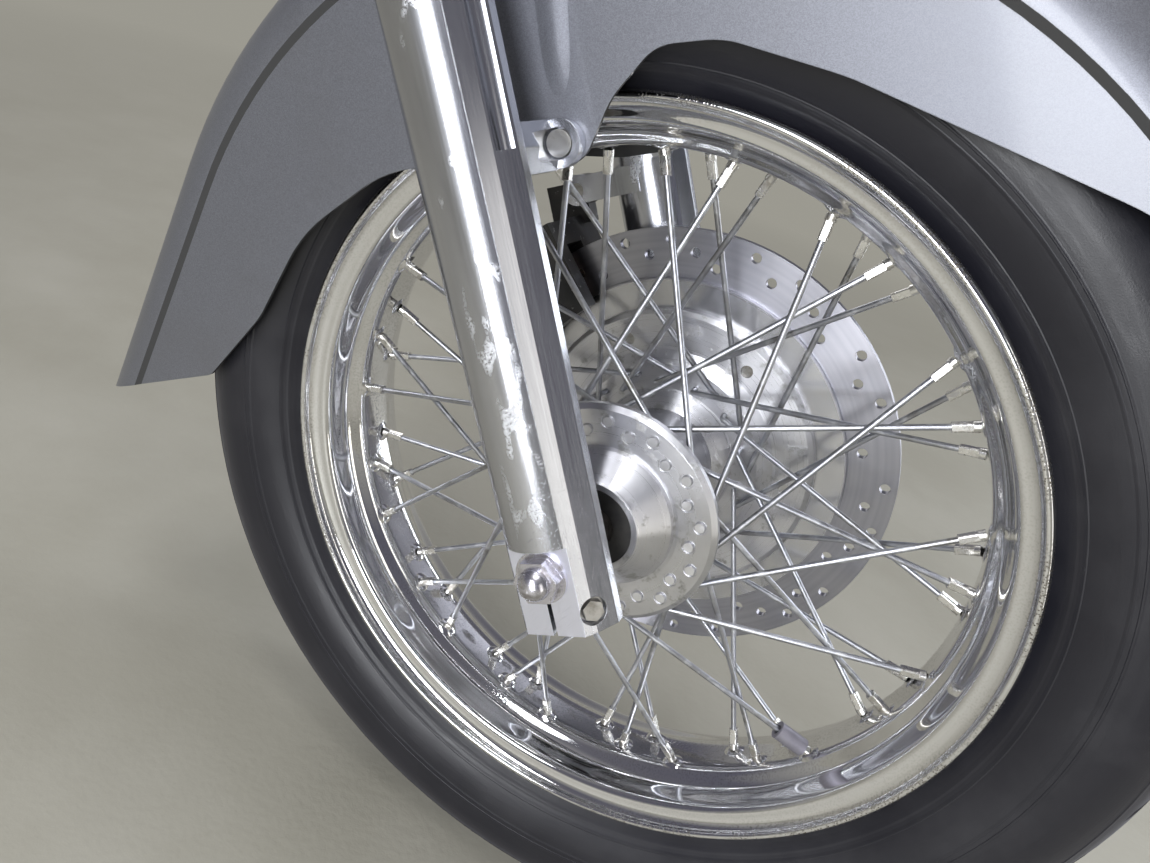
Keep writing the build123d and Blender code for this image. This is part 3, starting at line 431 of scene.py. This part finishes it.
def arc_points(first, middle, last, count):
    """Points from first to last on the circle through the three, both ends counted."""
    ax, ay, bx, by, cx, cy = *first, *middle, *last
    d = 2 * (ax * (by - cy) + bx * (cy - ay) + cx * (ay - by))
    a2, b2, c2 = ax * ax + ay * ay, bx * bx + by * by, cx * cx + cy * cy
    ux = (a2 * (by - cy) + b2 * (cy - ay) + c2 * (ay - by)) / d
    uy = (a2 * (cx - bx) + b2 * (ax - cx) + c2 * (bx - ax)) / d
    size = hypot(ax - ux, ay - uy)
    start, end = atan2(ay - uy, ax - ux), atan2(cy - uy, cx - ux)
    return [(ux + size * cos(start + (end - start) * k / (count - 1)),
             uy + size * sin(start + (end - start) * k / (count - 1))) for k in range(count)]


crown_curve = arc_points(*crown_arc, crown_points)
wall_curve = arc_points(*outer_wall_arc, wall_points) + arc_points(*inner_wall_arc, wall_points)[1:]


def crown_radius(y):
    """The tread's outside radius at a place across."""
    for (y0, r0), (y1, r1) in zip(crown_curve, crown_curve[1:]):
        if y0 <= y <= y1:
            return r0 + (r1 - r0) * (y - y0) / (y1 - y0)
    return crown_r if y < crown_flat else crown_curve[-1][1]


def wall_place(r):
    """The side wall's place across at a radius."""
    for (y0, r0), (y1, r1) in zip(wall_curve, wall_curve[1:]):
        if r1 <= r <= r0:
            return y0 + (y1 - y0) * (r0 - r) / (r0 - r1)
    return wall_curve[-1][0]


smooth_rows = arc_points(*outer_wall_arc, outer_rows)[1:] + arc_points(*inner_wall_arc, inner_rows)[1:]
wall_radii = {round(r, 2) for y, r in smooth_rows}
wall_radii |= {round(ring_r + step * half, 2)
               for ring_r, rise, half in wall_rings for step in ring_steps}
wall_rows = []
for r in sorted(wall_radii, reverse=True):
    lift = sum(rise for ring_r, rise, half in wall_rings if abs(r - ring_r) <= half * ring_flat)
    wall_rows.append((wall_place(r) + lift * ring_across, r + lift * ring_out))

tyre_points = []
for pitch in range(tread_pitches):
    for number, share in enumerate(pitch_slices):
        turn = (pitch + share) * pitch_turn
        wander = groove_wander * (abs(share * 2 - 1) * 2 - 1)
        half = []
        for y, sunk, wanders, cut in tread_rows:
            y += wander * wanders
            depth = groove_depth * sunk + cut_depth * (cut and number in cut_slices)
            slant = cut_slant * max(0, y - cut_from_y) / cut_from_y
            half.append((y, crown_radius(y) - depth, turn + slant * pitch_turn))
        half += [(y, r, turn + cut_slant * pitch_turn) for y, r in wall_rows + inside_rows]
        tyre_points += [round_axle(y, r, turned) for y, r, turned in half]
        tyre_points += [round_axle(-y, r, turned) for y, r, turned in reversed(half[1:-1])]
tyre_faces = ring_faces(tread_pitches * len(pitch_slices), 2 * len(half) - 2)

tyre_rubber = Finish("tyre_rubber", (0.014, 0.014, 0.016), 0.0, 0.5, **{
    "Sheen Weight": 0.08, "Sheen Roughness": 0.4, "Sheen Tint": (0.62, 0.64, 1.0)})
radius, angle, across = tyre_rubber.about_axle()
dust = tyre_rubber.patches(7, 6, 0.45, 0.75, rough=0.65)
drawn_round = tyre_rubber.joined(tyre_rubber.times(radius, scuffs_outward),
                                 tyre_rubber.times(angle, scuffs_round), across)
scuffs = tyre_rubber.patches(1.0, 3, 0.5, 0.75, vector=drawn_round)
dust_share = tyre_rubber.times(dust, tyre_rubber.ramp(tyre_rubber.ramp(radius, *tread_from), 0, 1, 0.45, 0.9))
tyre_rubber.lay({
    "Base Color": tyre_rubber.mix(dust_share, tyre_black, tyre_dust),
    "Roughness": tyre_rubber.minus(tyre_rubber.ramp(dust, 0, 1, 0.40, 0.62),
                                   tyre_rubber.times(scuffs, 0.08))})
tyre_rubber.bump(tyre_rubber.plus(tyre_rubber.noise(1300, 2), tyre_rubber.times(scuffs, 0.8)), 0.00005)

tyre = mesh_piece("moulded_tyre", tyre_points, tyre_faces, "wheel", tyre_rubber)
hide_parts("tyre")

# Brake disc: stamped from stainless plate, ground on both sides, drilled, and bolted to the hub's left face.
# The band that the pads rub is combed with fine rings, and the web inside it is smoother.
web_steel = (0.58, 0.58, 0.60)
band_dark = (0.34, 0.34, 0.39)
band_light = (0.50, 0.50, 0.54)
band_from = (0.1165, 0.1175)  # metres from the axle's line
# rings to a metre, and a step aside in the noise so that the wide ones fall otherwise
fine_ring_scale = 2600
wide_ring_scale = 320
wide_ring_step = 3

disc_steel = Finish("disc_steel", (0.45, 0.45, 0.48), 1.0, 0.3, **{
    "Anisotropic": 0.7, "Anisotropic Rotation": 0.25})
radius, angle, across = disc_steel.about_axle()
rubbed = disc_steel.ramp(radius, *band_from)
fine_place = disc_steel.joined(disc_steel.times(radius, fine_ring_scale), 0, 0)
wide_place = disc_steel.joined(disc_steel.times(radius, wide_ring_scale), wide_ring_step, 0)
fine_rings = disc_steel.noise(1.0, 3, fine_place)
wide_rings = disc_steel.noise(1.0, 2, wide_place)
disc_steel.lay({
    "Base Color": disc_steel.mix(rubbed, web_steel, disc_steel.mix(wide_rings, band_dark, band_light)),
    "Roughness": disc_steel.mix(rubbed, disc_steel.ramp(fine_rings, 0.3, 0.7, 0.18, 0.28),
                                disc_steel.ramp(fine_rings, 0.3, 0.7, 0.28, 0.42)),
    "Tangent": disc_steel.turned()})
disc_steel.bump(disc_steel.times(fine_rings, rubbed), 0.00003, edge=0.0003)
disc_steel.dress("brake_disc")

# Screws and bolts: cold-headed steel with rolled threads, zinc plated. They hold the disc, the fender and the
# caliper, close the axle's lug and the yokes, and are dulled by hands and marked by spanners.
bolt_zinc = (0.54, 0.53, 0.51)
bolt_mark = (0.28, 0.26, 0.22)

zinc_bolt = Finish("zinc_bolt", (0.50, 0.49, 0.47), 1.0, 0.33)
marks = zinc_bolt.patches(120, 5, 0.46, 0.7)
zinc_bolt.wear(marks, bolt_zinc, bolt_mark, 0.32, 0.55)
zinc_bolt.bump(zinc_bolt.noise(700, 3), 0.00004, edge=0.0004)
zinc_bolt.dress("disc_bolts", "axle_pinch_bolt", "yoke_bolts", "fender_bolts", "caliper_bolts")

# Collars: turned steel tubes, threaded on to the axle at both sides to hold the hub off the sliders.
# They are black with old grease and road dirt.
collar_dirt = (0.10, 0.09, 0.085)
collar_grease = (0.02, 0.019, 0.017)

collar_steel = Finish("collar_steel", (0.06, 0.055, 0.05), 0.7, 0.5)
old_grease = collar_steel.patches(55, 5, 0.4, 0.65)
collar_steel.wear(old_grease, collar_dirt, collar_grease, 0.35, 0.65)
collar_steel.bump(old_grease, 0.0003)
collar_steel.dress("axle_collar_right", "axle_collar_left")

# Axle: one ground steel bar through both lugs, the collars and the bearings. Its hexagon head, with a washer
# face and a domed end, draws up outside the right-hand lug and has a few spots of rust.
axle_bright = (0.68, 0.67, 0.73)
axle_spot = (0.38, 0.36, 0.36)

axle_steel = Finish("axle_steel", (0.58, 0.58, 0.59), 1.0, 0.2)
spots = axle_steel.patches(150, 5, 0.54, 0.68)
axle_steel.wear(spots, axle_bright, axle_spot, 0.26, 0.45)
axle_steel.bump(spots, 0.00001, edge=0.0004)
axle_steel.dress("axle")

# Sliders: cast in aluminium, ground and polished along their length, with the axle's flats milled pale across
# the foot. White oxide has bloomed in small clusters down the front, and the foot has spanner scratches.
leg_light = (0.58, 0.59, 0.63)
leg_dark = (0.48, 0.49, 0.53)
leg_oxide = (0.76, 0.77, 0.80)
leg_milled = (0.80, 0.81, 0.91)
# metres from the wheel's middle plane and up the leg from the axle: the milled flats and the scratched foot
flat_from_y = (0.1321, 0.1323)
flat_up_to = (0.0156, 0.0158)
foot_up_to = (0.03, 0.06)
# metres ahead of the axle: the middle of the oxide's lane, and its half width from full to none
lane_middle = 0.005
lane_half = (0.006, 0.011)
# sizes of the polishing lines, broad shades, oxide clusters and scratches, across and along, in metres
leg_lines = (0.0009, 0.05)
leg_shades = (0.02, 0.09)
oxide_clusters = (0.011, 0.022)
foot_scratches = (0.0006, 0.010)
scratch_lean = radians(-25)

slider_alloy = Finish("slider_alloy", (0.52, 0.52, 0.50), 1.0, 0.25)
leg_grain = slider_alloy.noise(1.0, 3, slider_alloy.grain(*leg_lines, fork_lean))
leg_tone = slider_alloy.patches(1.0, 3, 0.35, 0.7, vector=slider_alloy.grain(*leg_shades, fork_lean))
off_lane = slider_alloy.maths("ABSOLUTE", slider_alloy.minus(slider_alloy.from_axle(fork_ahead), lane_middle))
front_lane = slider_alloy.ramp(off_lane, *lane_half, 1.0, 0.0)
clusters = slider_alloy.patches(1.0, 1, 0.57, 0.68, vector=slider_alloy.grain(*oxide_clusters, fork_lean))
crumbs = slider_alloy.patches(650, 4, 0.44, 0.56, rough=0.8)
oxide = slider_alloy.times(slider_alloy.times(clusters, front_lane), crumbs)
up_leg = slider_alloy.from_axle(fork_line)
scratches = slider_alloy.times(
    slider_alloy.patches(1.0, 2, 0.64, 0.70, vector=slider_alloy.grain(*foot_scratches, scratch_lean)),
    slider_alloy.ramp(up_leg, *foot_up_to, 1.0, 0.0))
radius, angle, across = slider_alloy.about_axle()
milled = slider_alloy.times(slider_alloy.ramp(slider_alloy.maths("ABSOLUTE", across), *flat_from_y),
                            slider_alloy.ramp(up_leg, *flat_up_to, 1.0, 0.0))
polished = slider_alloy.mix(oxide, slider_alloy.mix(leg_tone, leg_light, leg_dark), leg_oxide)
slider_alloy.lay({
    "Base Color": slider_alloy.mix(milled, polished, leg_milled),
    "Metallic": slider_alloy.ramp(oxide, 0, 1, 1.0, 0.35),
    "Roughness": slider_alloy.plus(
        slider_alloy.plus(slider_alloy.times(oxide, 0.4), slider_alloy.times(milled, 0.22)),
        slider_alloy.ramp(leg_grain, 0.3, 0.7, 0.19, 0.27))})
slider_alloy.bump(slider_alloy.plus(slider_alloy.times(leg_grain, 0.12), slider_alloy.minus(
    slider_alloy.times(oxide, 1.5), scratches)), 0.00006, edge=0.0004)
slider_alloy.dress("slider_right", "slider_left")

# Fork tubes, their caps and the stem's nut: drawn steel tube, ground and hard chromed, with turned caps
# screwed into the top. The chrome is almost without a mark, but for smears of oil.
hard_chrome = (0.88, 0.88, 0.89)
oily_chrome = (0.80, 0.80, 0.80)

tube_chrome = Finish("tube_chrome", hard_chrome, 1.0, 0.04)
smears = tube_chrome.patches(26, 4, 0.45, 0.7)
tube_chrome.wear(smears, hard_chrome, oily_chrome, 0.03, 0.13)
tube_chrome.dress("fork_tube_right", "fork_tube_left", "fork_cap_right", "fork_cap_left", "stem_nut")

# Yokes: forged in aluminium and machined where they clamp the tubes, split beside each one for a bolt.
# The outside is blasted, so satin with a fine grain, and scuffed in places.
yoke_satin = (0.55, 0.55, 0.54)
yoke_scuffed = (0.42, 0.42, 0.41)

yoke_alloy = Finish("yoke_alloy", (0.52, 0.52, 0.51), 1.0, 0.38)
scuffs = yoke_alloy.patches(30, 5, 0.45, 0.7)
yoke_alloy.wear(scuffs, yoke_satin, yoke_scuffed, 0.34, 0.5)
yoke_alloy.bump(yoke_alloy.noise(1400, 2), 0.00005, edge=0.001)
yoke_alloy.dress("lower_yoke", "upper_yoke")

# Fender: pressed from sheet steel and painted silver with metal flake under clear lacquer.
# Inside it is left in dark stone guard, and a little road dust has dried on the paint.
silver_dark = (0.18, 0.185, 0.215)
silver_light = (0.25, 0.26, 0.295)
silver_dusty = (0.19, 0.19, 0.205)
stone_guard = (0.035, 0.035, 0.036)
flake_scale = 2600
# a face belongs to the inside where it looks back at the wheel, and its look across counts for less
look_across = 0.35

fender_silver = Finish("fender_silver", (0.30, 0.31, 0.35), 0.6, 0.4, **{
    "Coat Weight": 0.35, "Coat Roughness": 0.1})
flakes = fender_silver.cells(flake_scale, "Color")
flake = fender_silver.node("ShaderNodeSeparateColor", {0: flakes}).outputs[0]
outward = fender_silver.vectors("MULTIPLY", fender_silver.off_axle(), (1, look_across, 1))
face_normal = fender_silver.node("ShaderNodeNewGeometry").outputs["Normal"]
facing = fender_silver.vectors("DOT_PRODUCT", face_normal, outward)
inside = fender_silver.ramp(facing, 0.002, -0.002)
grime = fender_silver.patches(18, 5, 0.5, 0.75, 0.0, 0.3)
silver = fender_silver.mix(grime, fender_silver.mix(flake, silver_dark, silver_light), silver_dusty)
fender_silver.lay({"Base Color": fender_silver.mix(inside, silver, stone_guard),
                   "Metallic": fender_silver.ramp(inside, 0, 1, 0.7, 0.0),
                   "Roughness": fender_silver.mix(inside, fender_silver.ramp(flake, 0, 1, 0.42, 0.50), 0.8)})
fender_silver.bump(fender_silver.mix(inside, fender_silver.times(flake, 0.05), fender_silver.noise(350, 4)),
                   0.00012, edge=0.0006)
fender_silver.dress("fender")

# Ribs of the fender: pressed into both skirts above the lower bolts, to stiffen them.
# They are low and round, fade out at both ends, widen upward, and are painted with the fender.
eye_ahead, eye_down = 0.0795, 0.3555
rib_lean = radians(26)
rib_line = Vector((-sin(rib_lean), 0, cos(rib_lean)))
rib_across = Vector((cos(rib_lean), 0, sin(rib_lean)))
rib_from, rib_length = 0.013, 0.086
rib_half_low, rib_widening = 0.0085, 0.005
rib_height = 0.0013
rib_sunk = 0.0002
# a rib rises over its lower two fifths and fades over its upper third
rib_rises, rib_fades = 2.5, 3
skirt_out = 0.0718
rib_steps = 28
rib_columns = 12

eye_place = fork_ahead * eye_ahead - fork_line * eye_down
rib_points = []
rib_faces = []
for side in (-1, 1):
    first = len(rib_points)
    for step in range(rib_steps + 1):
        share = step / rib_steps
        fade_in = 0.5 - 0.5 * cos(pi * min(1, rib_rises * share))
        fade_out = 0.5 - 0.5 * cos(pi * min(1, rib_fades * (1 - share)))
        middle = eye_place + rib_line * (rib_from + rib_length * share)
        for column in range(rib_columns + 1):
            over = column / rib_columns * 2 - 1
            rise = rib_height * fade_in * fade_out * (0.5 + 0.5 * cos(pi * over)) - rib_sunk
            place = middle + rib_across * (rib_half_low + rib_widening * share) * over
            rib_points.append((place.x, side * (skirt_out + rise), place.z))
    for step in range(rib_steps):
        for column in range(rib_columns):
            a = first + step * (rib_columns + 1) + column
            face = (a, a + 1, a + rib_columns + 2, a + rib_columns + 1)
            rib_faces.append(face if side == -1 else face[::-1])
mesh_piece("fender_ribs", rib_points, rib_faces, "fork", fender_silver)

# Caliper: cast in aluminium, bored for its pistons and bolted to two lugs behind the left slider.
# It is in satin black enamel, gritty with brake dust and chipped to the metal here and there.
enamel = (0.022, 0.022, 0.024)
enamel_dusty = (0.085, 0.078, 0.07)
enamel_chip = (0.5, 0.5, 0.49)

caliper_black = Finish("caliper_black", (0.03, 0.03, 0.032), 0.0, 0.4)
chips = caliper_black.patches(170, 5, 0.64, 0.68, rough=0.7)
brake_dust = caliper_black.patches(25, 5, 0.4, 0.7)
caliper_black.lay({
    "Base Color": caliper_black.mix(chips, caliper_black.mix(brake_dust, enamel, enamel_dusty), enamel_chip),
    "Metallic": chips,
    "Roughness": caliper_black.ramp(brake_dust, 0, 1, 0.35, 0.7)})
caliper_black.bump(caliper_black.noise(500, 4), 0.0001)
caliper_black.dress("caliper")

# Brake pads: sintered lining bonded to steel plates, which hang in the caliper on both sides of the disc.
# The lining is coarse and dark, with brown flecks of rust.
lining_dark = (0.07, 0.065, 0.06)
lining_rust = (0.20, 0.14, 0.10)

pad_lining = Finish("pad_lining", (0.1, 0.09, 0.08), 0.2, 0.7)
flecks = pad_lining.patches(240, 5, 0.4, 0.6)
pad_lining.lay({"Base Color": pad_lining.mix(flecks, lining_dark, lining_rust)})
pad_lining.bump(pad_lining.noise(900, 3), 0.0001)
pad_lining.dress("brake_pads")

# Studio: a plain floor that the tyre stands on, under a grey surround. A tall soft lamp stands beside the
# wheel, and a strip and a pale card ahead show in the slider's front. The lamps lean as the fork does, so
# that their light runs along its legs.
floor_height = axle.z - crown_r * 0.001
floor_reach = 14
floor_dark = (0.345, 0.33, 0.275)
floor_light = (0.40, 0.385, 0.33)
floor_far_colour = (0.33, 0.32, 0.28)
floor_far = (0.9, 2.6)  # metres from the axle

floor_paint = Finish("floor_paint", (0.37, 0.355, 0.30), 0.0, 0.75)
worn_paint = floor_paint.patches(5, 6, 0.35, 0.7)
floor_paint.lay({"Base Color": floor_paint.mix(worn_paint, floor_dark, floor_light)})
floor_paint.bump(floor_paint.noise(90, 4), 0.0006)
ray = floor_paint.node("ShaderNodeLightPath").outputs
seen = floor_paint.maths("MINIMUM", floor_paint.plus(ray["Is Camera Ray"], floor_paint.plus(
    ray["Is Glossy Ray"], ray["Is Transmission Ray"])), 1.0)
far_share = floor_paint.ramp(floor_paint.vectors("DISTANCE", floor_paint.place, tuple(axle)), *floor_far)
far_light = floor_paint.node("ShaderNodeEmission", {"Color": floor_far_colour, "Strength": 1.0})
floor_mix = floor_paint.node("ShaderNodeMixShader", {
    0: floor_paint.times(seen, far_share), 1: floor_paint.surface.outputs[0], 2: far_light.outputs[0]})
floor_paint.set(floor_paint.tree.nodes["Material Output"], {0: floor_mix.outputs[0]})

floor_mesh = bpy.data.meshes.new("floor")
floor_mesh.from_pydata([(x * floor_reach, y * floor_reach, floor_height)
                        for x, y in ((-1, -1), (1, -1), (1, 1), (-1, 1))], [], [(0, 1, 2, 3)])
floor_mesh.materials.append(floor_paint.material)
floor = bpy.data.objects.new("floor", floor_mesh)
bpy.context.scene.collection.objects.link(floor)

# name, place from the axle, width, height, watts, colour
lamps = [
    ("key", (0.08, -1.75, 0.68), 0.5, 1.9, 38, (0.95, 0.97, 1.0)),
    ("edge", (1.5, 1.2, 0.9), 0.5, 1.4, 18, (0.90, 0.94, 1.0)),
    ("strip", (1.05, 1.70, 0.25), 0.16, 1.5, 7, (0.90, 0.94, 1.0)),
    ("card", (1.68, -0.71, 0.51), 0.45, 1.6, 4.5, (1.0, 0.97, 0.89)),
    ("top", (-0.3, -0.3, 2.3), 1.0, 1.0, 18, (1.0, 1.0, 1.0)),
    ("back", (-1.6, 1.4, 1.2), 0.8, 1.2, 10, (1.0, 0.99, 0.97)),
]
for name, place, width, height, watts, colour in lamps:
    lamp_data = bpy.data.lights.new(name, "AREA")
    lamp_data.shape = "RECTANGLE"
    lamp_data.size, lamp_data.size_y = width, height
    lamp_data.energy, lamp_data.color = watts, colour
    lamp = bpy.data.objects.new(name, lamp_data)
    towards = Vector(place).normalized()
    sideways = fork_line.cross(towards).normalized()
    lamp.matrix_world = Matrix.Translation(axle + Vector(place)) @ Matrix(
        (sideways, towards.cross(sideways), towards)).transposed().to_4x4()
    lamp.visible_camera = False
    bpy.context.scene.collection.objects.link(lamp)

# height in the surround from the horizon up, grey level there, and its blue as a share of the grey
surround = [(0.0, 0.33, 0.93), (0.10, 0.26, 0.96), (0.32, 0.11, 1.25), (0.70, 0.13, 1.15), (1.0, 0.34, 0.98)]
surround_green = 0.985
world = bpy.data.worlds.new("surround")
bpy.context.scene.world = world
world.use_nodes = True
sky = world.node_tree
direction = sky.nodes.new("ShaderNodeSeparateXYZ")
shade = sky.nodes.new("ShaderNodeValToRGB")
stops = shade.color_ramp.elements
for place, level, blue in surround[1:-1]:
    stops.new(place)
for stop, (place, level, blue) in zip(stops, surround):
    stop.color = (level, level * surround_green, level * blue, 1)
sky.links.new(sky.nodes.new("ShaderNodeTexCoord").outputs["Generated"], direction.inputs[0])
sky.links.new(direction.outputs["Z"], shade.inputs[0])
sky.links.new(shade.outputs[0], sky.nodes["Background"].inputs["Color"])
sky.nodes["Background"].inputs["Strength"].default_value = 1.0
